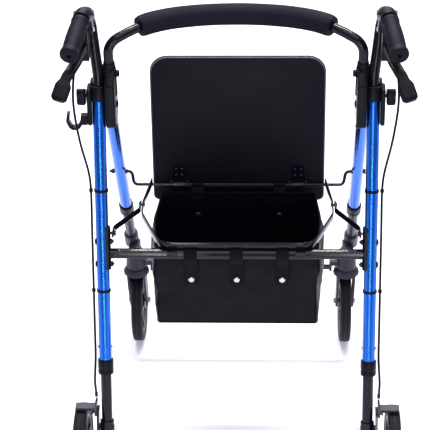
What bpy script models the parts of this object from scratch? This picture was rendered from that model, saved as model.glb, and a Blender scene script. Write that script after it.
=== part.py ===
"""Four-wheeled rollator walker with a flip-up seat, drawn as separate pieces in metres, +Z up, +Y forward."""

import bpy
import bmesh
import math
from mathutils import Vector

for old in list(bpy.data.objects):
    bpy.data.objects.remove(old)

# ---- driving dimensions (metres, degrees) ----
GAP = 0.0003            # air between neighbouring pieces
TUBE_R = 0.0127         # one-inch leg tube
TUBE_BORE = 0.0112
SLIDER_R = 0.0108       # tube that slides inside a leg
WHEEL_R = 0.095
WHEEL_W = 0.025
PIVOT_Z = 0.781         # height of the fold pivot
REAR_TILT = 18.1
FRONT_TILT = 28.8
REAR_X = 0.263
FRONT_X = 0.246
PIVOT_Y = 0.027         # the fold pivot sits this far ahead of the rear leg axis
REAR_AXLE = (0.317, -0.200)
FRONT_AXLE_Y = 0.311
SWIVEL = (0.236, 0.276)
CENTRE_Y = (FRONT_AXLE_Y + REAR_AXLE[1]) / 2     # the footprint is centred on the origin
SEAT_W, SEAT_D, SEAT_T = 0.356, 0.3225, 0.016
SEAT_BELOW = 0.040              # the part of the raised seat that reaches below the rod
ROD = (0.140, 0.5225)           # y, z of the seat rod
ROD_BOLT = (0.157, 0.5444)      # y, z of the bolts the rod turns on
BAND_Z, BAND_H, BAND_T = 0.5265, 0.016, 0.003
LINK_PIN = (0.058, 0.5265)
CROSS = (-0.088, 0.5075)        # y, z of the rear cross tube
CROSS_R = 0.0105
SADDLE_PIN_S = 0.245
HANDLE_X = 0.263
BACK_R = 0.0095             # three-quarter inch backrest tube
BACK_X, BACK_Y = 0.2425, 0.031

SR, CR = math.sin(math.radians(REAR_TILT)), math.cos(math.radians(REAR_TILT))
SF, CF = math.sin(math.radians(FRONT_TILT)), math.cos(math.radians(FRONT_TILT))

COLOURS = {
    "blue": (0.01, 0.10, 0.62), "black": (0.015, 0.015, 0.018), "gloss": (0.02, 0.02, 0.022),
    "dark": (0.05, 0.05, 0.055), "grey": (0.13, 0.13, 0.15), "steel": (0.6, 0.6, 0.62),
    "tyre": (0.04, 0.04, 0.042), "cloth": (0.012, 0.013, 0.02), "foam": (0.03, 0.03, 0.032),
}
METAL = {"blue": 0.5, "steel": 1.0, "gloss": 0.4}


def rear(x, s):
    """A point on the rear leg axis, s below the pivot height."""
    return Vector((x, -s * SR, PIVOT_Z - s * CR))


def front(x, s):
    """A point on the front leg axis, s below the fold pivot."""
    return Vector((x, PIVOT_Y + s * SF, PIVOT_Z - s * CF))


REAR_DOWN = Vector((0, -SR, -CR))
FRONT_DOWN = Vector((0, SF, -CF))


def circle(r, n=14):
    return [(r * math.cos(2 * math.pi * i / n), r * math.sin(2 * math.pi * i / n)) for i in range(n)]


def rounded_rect(w, h, r, steps=2):
    pts = []
    for cx, cy, a0 in ((w / 2 - r, h / 2 - r, 0), (r - w / 2, h / 2 - r, 90),
                       (r - w / 2, r - h / 2, 180), (w / 2 - r, r - h / 2, 270)):
        for i in range(steps + 1):
            a = math.radians(a0 + 90 * i / steps)
            pts.append((cx + r * math.cos(a), cy + r * math.sin(a)))
    return pts


def bend(points, radius, steps=3):
    """The path with each inner corner turned into an arc."""
    pts = [Vector(p) for p in points]
    out = [pts[0]]
    for a, b, c in zip(pts, pts[1:], pts[2:]):
        u, v = (a - b).normalized(), (c - b).normalized()
        turn = math.pi - u.angle(v)
        if turn < 0.01:
            out.append(b)
            continue
        cut_back = min(radius * math.tan(turn / 2), (a - b).length * 0.49, (c - b).length * 0.49)
        r = cut_back / math.tan(turn / 2)
        centre = b + (u + v).normalized() * (r / math.cos(turn / 2))
        p0, p1 = b + u * cut_back - centre, b + v * cut_back - centre
        for i in range(steps + 1):
            f = i / steps
            w0, w1 = math.sin((1 - f) * turn) / math.sin(turn), math.sin(f * turn) / math.sin(turn)
            out.append(centre + p0 * w0 + p1 * w1)
    out.append(pts[-1])
    return out


def node(name, verts, faces, colour, origin=None, sharp=35):
    """One object from a closed mesh, its own material, its origin on the axis it moves about."""
    mesh = bpy.data.meshes.new(name)
    shift = Vector((0, -CENTRE_Y, 0))
    home = Vector(origin) + shift if origin is not None else Vector((0, 0, 0))
    mesh.from_pydata([tuple(Vector(v) + shift - home) for v in verts], [], faces)
    bm = bmesh.new()
    bm.from_mesh(mesh)
    bmesh.ops.remove_doubles(bm, verts=bm.verts, dist=1e-6)
    bmesh.ops.recalc_face_normals(bm, faces=bm.faces)
    bm.to_mesh(mesh)
    bm.free()
    mesh.shade_smooth()
    mesh.set_sharp_from_angle(angle=math.radians(sharp))
    ob = bpy.data.objects.new(name, mesh)
    ob.location = home
    bpy.context.scene.collection.objects.link(ob)
    mat = bpy.data.materials.new(name + "_finish")
    mat.use_nodes = True
    bsdf = mat.node_tree.nodes["Principled BSDF"]
    bsdf.inputs["Base Color"].default_value = (*COLOURS[colour], 1)
    bsdf.inputs["Roughness"].default_value = 0.35 if colour in METAL else 0.6
    bsdf.inputs["Metallic"].default_value = METAL.get(colour, 0.0)
    mesh.materials.append(mat)
    return ob


def tool(name, verts, faces):
    """A hidden shape used only to cut or to add."""
    ob = node(name, verts, faces, "steel")
    ob.hide_render = True
    ob.display_type = "WIRE"
    return ob


def combine(ob, other, how="DIFFERENCE"):
    m = ob.modifiers.new(how.lower() + "_" + other.name, "BOOLEAN")
    m.operation, m.object, m.solver = how, other, "EXACT"
    return ob


def join(*meshes):
    """Separate closed meshes held in one vertex list, for cutting tools."""
    verts, faces = [], []
    for v, f in meshes:
        base = len(verts)
        verts += list(v)
        faces += [[i + base for i in face] for face in f]
    return verts, faces


def rings(path, outline, ref=(1, 0, 0)):
    """Copies of a 2-D outline square to the path."""
    pts = [Vector(p) for p in path]
    out = []
    for i, p in enumerate(pts):
        t0 = (p - pts[i - 1]).normalized() if i else (pts[1] - p).normalized()
        t1 = (pts[i + 1] - p).normalized() if i < len(pts) - 1 else t0
        t = (t0 + t1).normalized()
        stretch = 1 / max(0.5, t.dot(t1))
        n = (Vector(ref) - t * Vector(ref).dot(t)).normalized()
        b = t.cross(n)
        k = (t1 - t0)
        k = k.normalized() if k.length > 1e-6 else None
        ring = []
        for a, c in outline:
            q = n * a + b * c
            if k is not None:
                q = q + k * q.dot(k) * (stretch - 1)
            ring.append(p + q)
        out.append(ring)
    return out


def skin(loops, closed=False, caps=True):
    n = len(loops[0])
    verts = [v for ring in loops for v in ring]
    faces = []
    last = len(loops) if closed else len(loops) - 1
    for i in range(last):
        a, b = i * n, ((i + 1) % len(loops)) * n
        faces += [[a + j, a + (j + 1) % n, b + (j + 1) % n, b + j] for j in range(n)]
    if caps and not closed:
        faces += [list(range(n))[::-1], [(len(loops) - 1) * n + j for j in range(n)]]
    return verts, faces


def rod(path, outline, ref=(1, 0, 0)):
    return skin(rings(path, outline, ref))


def pipe(path, r_out, r_in, n=14, ref=(1, 0, 0)):
    """A hollow tube along a path."""
    outer, inner = rings(path, circle(r_out, n), ref), rings(path, circle(r_in, n), ref)
    return skin(outer + inner[::-1], closed=True)


def turned(profile, origin, axis, n=16, ref=None):
    """A body of revolution: profile points are (radius, distance along the axis)."""
    axis = Vector(axis).normalized()
    ref = Vector(ref) if ref else (Vector((0, 0, 1)) if abs(axis.z) < 0.9 else Vector((0, 1, 0)))
    u = (ref - axis * ref.dot(axis)).normalized()
    v = axis.cross(u)
    loops = []
    for i in range(n):
        a = 2 * math.pi * i / n
        d = u * math.cos(a) + v * math.sin(a)
        loops.append([Vector(origin) + axis * h + d * r for r, h in profile])
    closed_ring = all(r > 1e-6 for r, _ in profile)
    verts = [p for ring in loops for p in ring]
    m = len(profile)
    faces = []
    for i in range(n):
        a, b = i * m, ((i + 1) % n) * m
        steps = m if closed_ring else m - 1
        for j in range(steps):
            k = (j + 1) % m
            quad = [a + j, a + k, b + k, b + j]
            if profile[j][0] <= 1e-6:
                quad = [a + j, a + k, b + k]
            elif profile[k][0] <= 1e-6:
                quad = [a + j, a + k, b + j]
            faces.append(quad)
    return verts, faces


def slab(outline_yz, x0, x1, edge=0.0):
    """An outline in the side plane, thick from x0 to x1, with softened edges."""
    if not edge:
        loops = [[Vector((x, y, z)) for y, z in outline_yz] for x in (x0, x1)]
        return skin(loops)
    cy = sum(p[0] for p in outline_yz) / len(outline_yz)
    cz = sum(p[1] for p in outline_yz) / len(outline_yz)
    loops = []
    s = 1 if x1 > x0 else -1
    for x, inset in ((x0, edge * 0.8), (x0 + s * edge, 0), (x1 - s * edge, 0), (x1, edge * 0.8)):
        ring = []
        for y, z in outline_yz:
            d = math.hypot(y - cy, z - cz)
            f = (d - inset) / d
            ring.append(Vector((x, cy + (y - cy) * f, cz + (z - cz) * f)))
        loops.append(ring)
    return skin(loops)


def soft_polygon(corners, r, steps=2):
    """A closed 2-D polygon with rounded corners."""
    pts = [Vector((a, b, 0)) for a, b in corners]
    out = []
    n = len(pts)
    for i in range(n):
        out += bend([pts[i - 1], pts[i], pts[(i + 1) % n]], r, steps)[1:-1]
    return [(p.x, p.y) for p in out]


def peg(p0, p1, r, n=8):
    axis = Vector(p1) - Vector(p0)
    return turned([(0, 0), (r, 0), (r, axis.length), (0, axis.length)], p0, axis, n)


def side_name(s):
    return "left" if s < 0 else "right"


# ---- rear frame ----
HOLES = (0.3865, 0.4185, 0.4505)     # spare height holes down the rear leg
BUTTON_S = 0.4825                    # hole the snap button sits in
LEG_END = 0.512                      # lower end of the rear leg tube


def handle_line(s, x_extra=0.0):
    p = rear(HANDLE_X + x_extra, s)
    return (p.x, p.y, p.z)


def handle_points():
    return bend([handle_line(0.16), handle_line(-0.07), handle_line(-0.185, 0.013),
                 (0.284, 0.012, 0.979), (0.2985, -0.100, 0.957)], 0.038, 4)


def mirrored(points, s):
    return [(p[0] * s, p[1], p[2]) for p in points]


def rear_side(s):
    side = side_name(s)
    x = REAR_X * s
    leg = node("rear_leg_" + side, *pipe([rear(x, -0.040), rear(x, LEG_END)], TUBE_R, TUBE_BORE), "blue")
    holes = [peg(rear(x - s * 0.006, h), rear(x - s * 0.02, h), 0.0032) for h in HOLES]
    holes.append(peg(rear(x - 0.02, BUTTON_S), rear(x + 0.02, BUTTON_S), 0.0043))
    holes.append(peg(rear(x + s * 0.006, -0.030), rear(x + s * 0.02, -0.030), 0.0040))
    combine(leg, tool("rear_leg_holes_" + side, *join(*holes)))

    lip, bottom = LEG_END + 2 * GAP, LEG_END + 0.027
    wall = [(SLIDER_R + 0.0004, lip), (SLIDER_R + 0.0004, bottom), (0.0150, bottom),
            (0.0156, LEG_END - 0.004), (TUBE_R + GAP, LEG_END - 0.004), (TUBE_R + GAP, lip)]
    node("rear_collar_" + side, *turned(wall, rear(x, 0), REAR_DOWN), "black")

    # moulded top bracket: holds the leg, the fold pivot and the backrest socket
    outline = soft_polygon([(-0.024, 0.752), (-0.012, 0.846), (0.012, 0.864), (0.046, 0.864),
                            (0.050, 0.800), (0.062, 0.772), (0.050, 0.744), (0.010, 0.738)], 0.014)
    bracket = node("top_bracket_" + side, *slab(outline, 0.2305 * s, 0.2850 * s, 0.005), "black")
    bore = peg(rear(x, -0.12), rear(x, 0.10), TUBE_R + GAP, 20)
    pocket = slab(soft_polygon([(0.011, 0.720), (0.011, 0.803), (0.043, 0.803), (0.080, 0.780),
                                (0.080, 0.720)], 0.006), 0.2325 * s, 0.2595 * s)
    socket = peg((BACK_X * s, BACK_Y, 0.822), (BACK_X * s, BACK_Y, 0.90), BACK_R + GAP, 16)
    screw = peg(rear(x + s * 0.008, -0.030), rear(x + s * 0.05, -0.030), 0.0040)
    combine(bracket, tool("bracket_bore_" + side, *bore))
    combine(bracket, tool("bracket_pocket_" + side, *pocket))
    combine(bracket, tool("bracket_socket_" + side, *socket))
    combine(bracket, tool("bracket_screw_hole_" + side, *screw))
    # the shell is open behind the leg, and low around the handle tube
    leg_face = [rear(0, -0.020), rear(0, 0.060)]
    window = slab([(p.y, p.z) for p in leg_face] + [(p.y - 0.05, p.z) for p in leg_face[::-1]],
                  (REAR_X - 0.0118) * s, (REAR_X + 0.0118) * s)
    combine(bracket, tool("bracket_window_" + side, *window))
    shoulder = slab([(-0.05, 0.836), (-0.05, 0.90), (0.08, 0.90), (0.08, 0.828)], 0.2535 * s, 0.30 * s)
    combine(bracket, tool("bracket_shoulder_" + side, *shoulder))
    pin = peg((0.2310 * s, PIVOT_Y, PIVOT_Z), (0.2625 * s, PIVOT_Y, PIVOT_Z), 0.004, 10)
    combine(bracket, tool("bracket_pin_" + side, *pin), "UNION")


def cross_tube():
    y, z = CROSS
    tube = rod([(-0.2485, y, z), (0.2485, y, z)], circle(CROSS_R), (0, 0, 1))
    body = node("rear_cross_tube", *tube, "gloss")
    for s in (-1, 1):
        x = REAR_X * s
        loops = []
        for h in (0.232, 0.238, 0.312, 0.318):
            trim = 8 if h in (0.232, 0.318) else 0
            centre = rear(x, h)
            across = REAR_DOWN.cross(Vector((1, 0, 0))).normalized()
            ring = []
            for r, angles in ((TUBE_R + GAP, range(-60, 61, 20)), (TUBE_R + 0.0035, range(60, -61, -20))):
                for a in angles:
                    a = math.radians(a * (60 - trim) / 60)
                    ring.append(centre + Vector((-s, 0, 0)) * (r * math.cos(a)) + across * (r * math.sin(a)))
            loops.append(ring)
        combine(body, tool("saddle_" + side_name(s), *skin(loops)), "UNION")
        pin = rear(x, SADDLE_PIN_S)
        stud = peg((pin.x - s * 0.0145, pin.y, pin.z), (pin.x - s * 0.0238, pin.y, pin.z), 0.003)
        combine(body, tool("link_stud_" + side_name(s), *stud), "UNION")
        clip = slab(soft_polygon([(y - 0.014, z - 0.002), (y - 0.014, BAND_Z - BAND_H / 2 - GAP),
                                  (y + 0.014, BAND_Z - BAND_H / 2 - GAP), (y + 0.014, z - 0.002)], 0.003, 1),
                    s * 0.116, s * 0.136)
        combine(body, tool("rest_clip_" + side_name(s), *clip), "UNION")


def bag():
    """Open-topped cloth basket hung inside the seat band."""
    wall = 0.003
    # height, half width at the near, middle and far side, nearest and farthest y
    rows = [(0.512, 0.163, 0.170, 0.160, -0.0720, 0.128), (0.495, 0.164, 0.175, 0.161, -0.0735, 0.128),
            (0.470, 0.164, 0.178, 0.162, -0.0765, 0.127), (0.410, 0.164, 0.174, 0.161, -0.0780, 0.124),
            (0.345, 0.164, 0.169, 0.160, -0.0780, 0.120), (0.326, 0.162, 0.166, 0.158, -0.0760, 0.117)]

    def ring(z, near, middle, far, y0, y1, inset):
        y0, y1 = y0 + inset, y1 - inset
        near, middle, far = near - inset, middle - inset, far - inset
        corners = [(-near, y0), (near, y0), (middle, (y0 + y1) / 2), (far, y1), (-far, y1),
                   (-middle, (y0 + y1) / 2)]
        return [Vector((a, b, z)) for a, b in soft_polygon(corners, 0.012, 2)]
    outer = [ring(*row, 0.0) for row in rows]
    inner = [ring(max(row[0], rows[-1][0] + wall), *row[1:], wall) for row in rows]
    verts, faces = skin(outer[::-1] + inner, caps=True)
    node("carry_bag", verts, faces, "cloth", sharp=50)


def handle_side(s):
    side = side_name(s)
    pts = handle_points()
    node("handle_tube_" + side, *rod(mirrored(pts, s), circle(SLIDER_R, 12)), "gloss",
         origin=rear(REAR_X * s, -0.03))
    end, start = Vector(pts[-1]), Vector(pts[-2])
    along = (end - start).normalized()
    r = SLIDER_R + GAP
    total = (end - start).length
    grip_len = min(0.118, total - 0.004)
    base = end - along * grip_len
    prof = [(r, 0), (0.0150, 0), (0.0172, 0.004), (0.0158, 0.022), (0.0170, 0.060), (0.0162, 0.100),
            (0.0182, grip_len), (0.0175, grip_len + 0.004), (0.0040, grip_len + 0.005),
            (0.0040, grip_len + 0.0008), (r, grip_len + 0.0008)]
    o = Vector((base.x * s, base.y, base.z))
    ax = Vector((along.x * s, along.y, along.z))
    node("hand_grip_" + side, *turned(prof, o, ax), "foam", origin=rear(REAR_X * s, -0.03))

    # lever housing clamped on the bend, cut to clear the tube
    hx = 0.2795
    outline = soft_polygon([(0.030, 0.927), (0.060, 0.940), (0.064, 0.972), (0.042, 0.986), (0.012, 0.977),
                            (0.005, 0.950), (0.010, 0.934)], 0.006)
    mount = node("lever_housing_" + side, *slab(outline, (hx - 0.016) * s, (hx + 0.016) * s, 0.004), "black",
                 origin=rear(REAR_X * s, -0.03))
    clear = rod(mirrored(pts, s), circle(SLIDER_R + GAP, 12))
    combine(mount, tool("housing_bore_" + side, *clear))
    slot = slab([(-0.04, 0.90), (-0.04, 0.9555), (0.0335, 0.9555), (0.0335, 0.90)], (hx - 0.0062) * s,
                (hx + 0.0062) * s)
    combine(mount, tool("housing_slot_" + side, *slot))

    # squeeze lever: a blade out of the housing with a broad finger pad at its end
    px, py, pz = hx * s, 0.020, 0.9455
    blade = slab(soft_polygon([(0.030, 0.950), (0.028, 0.941), (-0.005, 0.928), (-0.044, 0.920),
                               (-0.047, 0.930), (-0.005, 0.9390), (0.020, 0.9535)], 0.003, 2),
                 (hx - 0.0055) * s, (hx + 0.0055) * s)
    lever = node("brake_lever_" + side, *blade, "black", origin=(px, py, pz))
    arm_path = [((hx + 0.001) * s, -0.024, 0.9290), (0.2890 * s, -0.055, 0.9240),
                (0.3000 * s, -0.090, 0.9165),
                (0.3110 * s, -0.110, 0.9040)]
    arm = rod(bend(arm_path, 0.03, 2), rounded_rect(0.020, 0.010, 0.004, 1))
    combine(lever, tool("lever_arm_" + side, *arm), "UNION")
    end_path = [(0.3095 * s, -0.1065, 0.9055), (0.3215 * s, -0.1350, 0.8780)]
    paddle = rod(end_path, rounded_rect(0.030, 0.016, 0.004, 2))
    combine(lever, tool("lever_paddle_" + side, *paddle), "UNION")

    # clamp knob with three lobes
    k = rear(REAR_X * s, -0.030)
    out = Vector((s, 0, 0))
    face = Vector((0.2875 * s, k.y, k.z))
    lobes = []
    for dx, grow in ((0, 0.85), (0.003, 1.0), (0.0145, 1.0), (0.0175, 0.80)):
        ring = []
        for i in range(24):
            a = 2 * math.pi * i / 24
            r = (0.0155 + 0.0035 * math.cos(3 * a)) * grow
            ring.append(face + out * dx + Vector((0, r * math.cos(a), r * math.sin(a))))
        lobes.append(ring)
    knob = node("height_knob_" + side, *skin(lobes), "black", origin=k)
    stem = peg(face + out * 0.004, Vector((k.x + s * (SLIDER_R + 0.0006), k.y, k.z)), 0.0034)
    combine(knob, tool("knob_stem_" + side, *stem), "UNION")


def backrest():
    """Bowed backrest tube plugged into both brackets, with a foam sleeve round its middle."""
    corner = bend([(BACK_X, BACK_Y, 0.8225), (BACK_X, BACK_Y, 0.910), (0.205, 0.046, 0.926)], 0.032, 4)
    arch = []
    for i in range(1, 8):
        a = math.radians(-78 + 156 * i / 8)
        arch.append(Vector((-0.198 * math.sin(a), 0.014 + 0.100 * math.cos(a) ** 0.8, 0.930)))
    centre = corner + arch + [Vector((-p.x, p.y, p.z)) for p in corner[::-1]]
    node("backrest_tube", *rod(centre, circle(BACK_R, 12), (0, 1, 0.3)), "gloss",
         origin=(0, BACK_Y, 0.86))
    inner = [centre[len(corner) - 1].lerp(arch[0], 0.25)] + arch + [centre[-len(corner)].lerp(arch[-1], 0.25)]
    outer_r = [0.0190] + [0.0210] * (len(inner) - 2) + [0.0190]
    tube = rings(inner, circle(1.0, 12), (0, 1, 0.3))
    loops = [[p + (q - p) * r for q in ring] for p, ring, r in zip(inner, tube, outer_r)]
    bore = [[p + (q - p) * (BACK_R + 2 * GAP) for q in ring] for p, ring in zip(inner, tube)]
    node("backrest_pad", *skin(loops + bore[::-1], closed=True), "foam", origin=(0, BACK_Y, 0.86))


# ---- front frame ----
FRONT_HOLES = (0.3125, 0.341, 0.3695)
FRONT_BUTTON_S = 0.398


def front_side(s):
    side = side_name(s)
    x = FRONT_X * s
    pivot = (x, PIVOT_Y, PIVOT_Z)
    leg = node("front_leg_" + side, *pipe([front(x, -0.009), front(x, 0.424)], TUBE_R, TUBE_BORE), "blue",
               origin=pivot)
    holes = [peg((x - 0.02, PIVOT_Y, PIVOT_Z), (x + 0.02, PIVOT_Y, PIVOT_Z), 0.0045, 10)]
    b = Vector((x, *ROD_BOLT))
    holes.append(peg(b - Vector((0.02, 0, 0)), b + Vector((0.02, 0, 0)), 0.0042, 12))
    holes += [peg(front(x - s * 0.006, h), front(x - s * 0.02, h), 0.0032) for h in FRONT_HOLES]
    holes.append(peg(front(x - s * 0.006, FRONT_BUTTON_S), front(x - s * 0.02, FRONT_BUTTON_S), 0.0043))
    combine(leg, tool("front_leg_holes_" + side, *join(*holes)))
    wall = [(SLIDER_R + 0.0004, 0.4245), (SLIDER_R + 0.0004, 0.447), (0.0148, 0.447), (0.0155, 0.417),
            (TUBE_R + GAP, 0.417), (TUBE_R + GAP, 0.4245)]
    node("front_collar_" + side, *turned(wall, front(x, 0), FRONT_DOWN), "black", origin=pivot)

    low = node("front_lower_tube_" + side, *pipe([front(x, 0.368), front(x, 0.578)], SLIDER_R, 0.0093, 16),
               "grey", origin=front(x, 0.43))
    hole = peg(front(x - s * 0.006, FRONT_BUTTON_S), front(x - s * 0.02, FRONT_BUTTON_S), 0.0040)
    combine(low, tool("front_lower_hole_" + side, *hole))

    # caster housing: a socket on the tube blended into the upright swivel barrel
    sx, sy = SWIVEL
    axis0 = front(x, 0.0)
    socket = turned([(0, 0.556), (0.0148, 0.556), (0.0160, 0.559), (0.0165, 0.600), (0.010, 0.612),
                     (0, 0.614)], axis0, FRONT_DOWN)
    housing = node("caster_housing_" + side, *socket, "dark", origin=front(x, 0.43))
    barrel = turned([(0, 0.216), (0.021, 0.216), (0.0225, 0.219), (0.0205, 0.250), (0.0150, 0.264),
                     (0, 0.267)], (sx * s, sy, 0), (0, 0, 1))
    combine(housing, tool("housing_barrel_" + side, *barrel), "UNION")
    web = slab(soft_polygon([(sy - 0.004, 0.222), (sy - 0.004, 0.258), (0.300, 0.268), (0.318, 0.262),
                             (0.314, 0.238), (0.296, 0.224)], 0.005, 2), (sx - 0.009) * s, (sx + 0.014) * s)
    combine(housing, tool("housing_web_" + side, *web), "UNION")
    stem_room = peg((sx * s, sy, 0.20), (sx * s, sy, 0.2555), 0.0062, 12)
    combine(housing, tool("housing_stem_room_" + side, *stem_room))
    tube_room = peg(front(x, 0.50), front(x, 0.5785), SLIDER_R + GAP, 20)
    combine(housing, tool("housing_tube_room_" + side, *tube_room))
    lug = slab(soft_polygon([(sy - 0.010, 0.207), (sy - 0.010, 0.236), (sy + 0.010, 0.236),
                             (sy + 0.010, 0.207)], 0.006, 2), 0.198 * s, 0.2035 * s)
    arm = slab(soft_polygon([(sy - 0.007, 0.2212), (sy - 0.007, 0.2345), (sy + 0.007, 0.2345),
                             (sy + 0.007, 0.2212)], 0.003, 2), 0.2010 * s, 0.2230 * s)
    combine(housing, tool("housing_arm_" + side, *arm), "UNION")
    combine(housing, tool("housing_lug_" + side, *lug), "UNION")

    # fork: crown, stem and two blades down to the axle
    ay, az = FRONT_AXLE_Y, WHEEL_R
    crown = turned([(0, 0.1985), (0.026, 0.1985), (0.0295, 0.202), (0.0280, 0.208), (0.020, 0.2145),
                    (0.0058, 0.2150), (0.0058, 0.250), (0.0045, 0.252), (0, 0.252)],
                   (sx * s, sy, 0), (0, 0, 1))
    fork = node("caster_fork_" + side, *crown, "dark", origin=(sx * s, sy, 0.20))
    for k in (-1, 1):
        blade = slab(soft_polygon([(sy - 0.022, 0.2045), (sy - 0.012, 0.165), (ay - 0.013, az - 0.010),
                                   (ay + 0.013, az - 0.012), (ay + 0.014, az + 0.014), (sy + 0.025, 0.2045)],
                                  0.008, 2), sx * s + k * 0.0160, sx * s + k * 0.0205)
        combine(fork, tool("fork_blade_%s_%d" % (side, k), *blade), "UNION")
    axle = peg((sx * s - 0.026, ay, az), (sx * s + 0.026, ay, az), 0.0040, 10)
    combine(fork, tool("fork_axle_" + side, *axle), "UNION")
    wheel("front", s, sx * s, ay, 0.0125)


def wheel(place, s, x, y, half_hub):
    side = side_name(s)
    o = (x, y, WHEEL_R)
    w = WHEEL_W / 2
    hub = [(0.0045, -half_hub), (0.0160, -half_hub), (0.0170, -0.006), (0.064, -0.005), (0.0735, -0.0112),
           (0.0735, 0.0112), (0.064, 0.005), (0.0170, 0.006), (0.0160, half_hub), (0.0045, half_hub)]
    node("%s_wheel_%s" % (place, side), *turned(hub, o, (1, 0, 0), 24), "dark", origin=o)
    r = WHEEL_R
    tyre = [(0.0738, -0.0112), (0.082, -w), (r - 0.004, -w + 0.0015), (r, -0.006), (r, 0.006),
            (r - 0.004, w - 0.0015), (0.082, w), (0.0738, 0.0112)]
    node("%s_tyre_%s" % (place, side), *turned(tyre, o, (1, 0, 0), 24), "tyre", origin=o)


def front_bar():
    y = SWIVEL[1]
    end = 0.1977
    node("front_cross_bar", *rod([(-end, y, 0.2150), (end, y, 0.2150)], circle(0.0060, 14), (0, 0, 1)),
         "gloss", origin=front(0, 0.43))


PLATE_X = (0.2792, 0.2842)           # inner and outer face of the wheel plate
SHOE_X = (0.2850, 0.2890)            # inner and outer face of the brake rocker
SHOE_PIN = (-0.186, 0.183)           # y, z of the brake rocker's pin


def rear_lower_side(s):
    side = side_name(s)
    x = REAR_X * s
    low = node("rear_lower_tube_" + side, *pipe([rear(x, 0.335), rear(x, 0.690)], SLIDER_R, 0.0093, 16),
               "gloss", origin=rear(x, 0.50))
    hole = peg(rear(x - 0.02, BUTTON_S), rear(x + 0.02, BUTTON_S), 0.0040)
    combine(low, tool("rear_lower_hole_" + side, *hole))
    ax, ay = REAR_AXLE
    az = WHEEL_R
    # forged end plate outside the tube, carrying the axle and the brake pivot
    plate = slab(soft_polygon([(-0.234, 0.118), (-0.196, 0.190), (-0.168, 0.192), (-0.172, 0.150),
                               (ay + 0.018, 0.085), (ay - 0.010, 0.078), (-0.236, 0.096)], 0.009, 2),
                 PLATE_X[0] * s, PLATE_X[1] * s)
    bracket = node("brake_bracket_" + side, *plate, "black", origin=rear(x, 0.50))
    boss_at = rear(x, 0.657)
    boss = peg((0.2745 * s, boss_at.y, boss_at.z), (0.2800 * s, boss_at.y, boss_at.z), 0.0090, 12)
    combine(bracket, tool("bracket_boss_" + side, *boss), "UNION")
    axle = peg((0.2815 * s, ay, az), ((ax + 0.0165) * s, ay, az), 0.0040, 10)
    combine(bracket, tool("rear_axle_" + side, *axle), "UNION")
    spacer = peg((0.2830 * s, ay, az), ((ax - WHEEL_W / 2 - 2 * GAP) * s, ay, az), 0.0075, 12)
    combine(bracket, tool("axle_spacer_" + side, *spacer), "UNION")
    pin = peg((0.2815 * s, *SHOE_PIN), (0.2925 * s, *SHOE_PIN), 0.0032)
    combine(bracket, tool("shoe_pin_" + side, *pin), "UNION")
    strap = turned([(SLIDER_R + GAP, 0), (SLIDER_R + 0.0030, 0), (SLIDER_R + 0.0030, 0.034),
                    (SLIDER_R + GAP, 0.034)], rear(x, 0.640), REAR_DOWN, 20)
    combine(bracket, tool("bracket_strap_" + side, *strap), "UNION")
    room = peg(rear(x, 0.60), rear(x, 0.72), SLIDER_R + GAP, 20)
    combine(bracket, tool("bracket_tube_room_" + side, *room))
    wheel("rear", s, ax * s, ay, 0.0125)
    # brake shoe: a rocker ending in a pad just off the tread
    shoe = slab(soft_polygon([(-0.196, 0.178), (-0.196, 0.196), (-0.176, 0.197), (-0.156, 0.195),
                              (-0.152, 0.190), (-0.168, 0.180), (-0.180, 0.176)], 0.003, 2),
                SHOE_X[0] * s, SHOE_X[1] * s)
    ob = node("brake_shoe_" + side, *shoe, "steel", origin=((SHOE_X[0] + 0.002) * s, *SHOE_PIN))
    pad_outline = [(-0.197, 0.1925), (-0.197, 0.1995), (-0.176, 0.1995), (-0.176, 0.1935)]
    pad = slab(soft_polygon(pad_outline, 0.0015, 1),
               (SHOE_X[1] - 0.0015) * s, (ax + 0.010) * s)
    combine(ob, tool("shoe_pad_" + side, *pad), "UNION")
    hole = peg((0.27 * s, *SHOE_PIN), (0.30 * s, *SHOE_PIN), 0.0035)
    combine(ob, tool("shoe_hole_" + side, *hole))


def snap_button(name, centre, direction):
    """Sprung pin standing out of its hole."""
    d = Vector(direction)
    prof = [(0, 0.0010), (0.0034, 0.0010), (0.0034, 0.0070), (0.0020, 0.0086), (0, 0.0090)]
    node(name, *turned(prof, Vector(centre) + d * 0.006, d, 12), "steel", origin=centre)


# ---- seat and links ----
def seat_frame():
    half = [(FRONT_X + 0.0225, *ROD_BOLT), (0.2220, *ROD_BOLT), (0.2170, ROD[0], ROD[1]), (0.190, *ROD)]
    path = [(-p[0], p[1], p[2]) for p in half] + half[::-1]
    frame = node("seat_frame", *rod(bend(path, 0.010, 2), circle(0.0034, 10), (0, 0.3, 1)), "gloss",
                 origin=(0, *ROD_BOLT))
    right = [(0.180, ROD[0] + 0.006, BAND_Z), (0.1925, 0.062, BAND_Z), (0.1925, 0.020, BAND_Z),
             (0.150, -0.088, BAND_Z)]
    path = right + [(-p[0], p[1], p[2]) for p in right[::-1]]
    band = skin(band_rings(bend(path, 0.032, 4)))
    combine(frame, tool("seat_band", *band), "UNION")


def band_rings(points):
    """Upright strip of constant height along a level path."""
    loops = []
    for i, p in enumerate(points):
        a = points[i - 1] if i else p
        b = points[i + 1] if i < len(points) - 1 else p
        t = (b - a).normalized()
        n = Vector((t.y, -t.x, 0)) * (BAND_T / 2)
        up = Vector((0, 0, BAND_H / 2))
        loops.append([p - n - up, p + n - up, p + n + up, p - n + up])
    return loops


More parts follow.
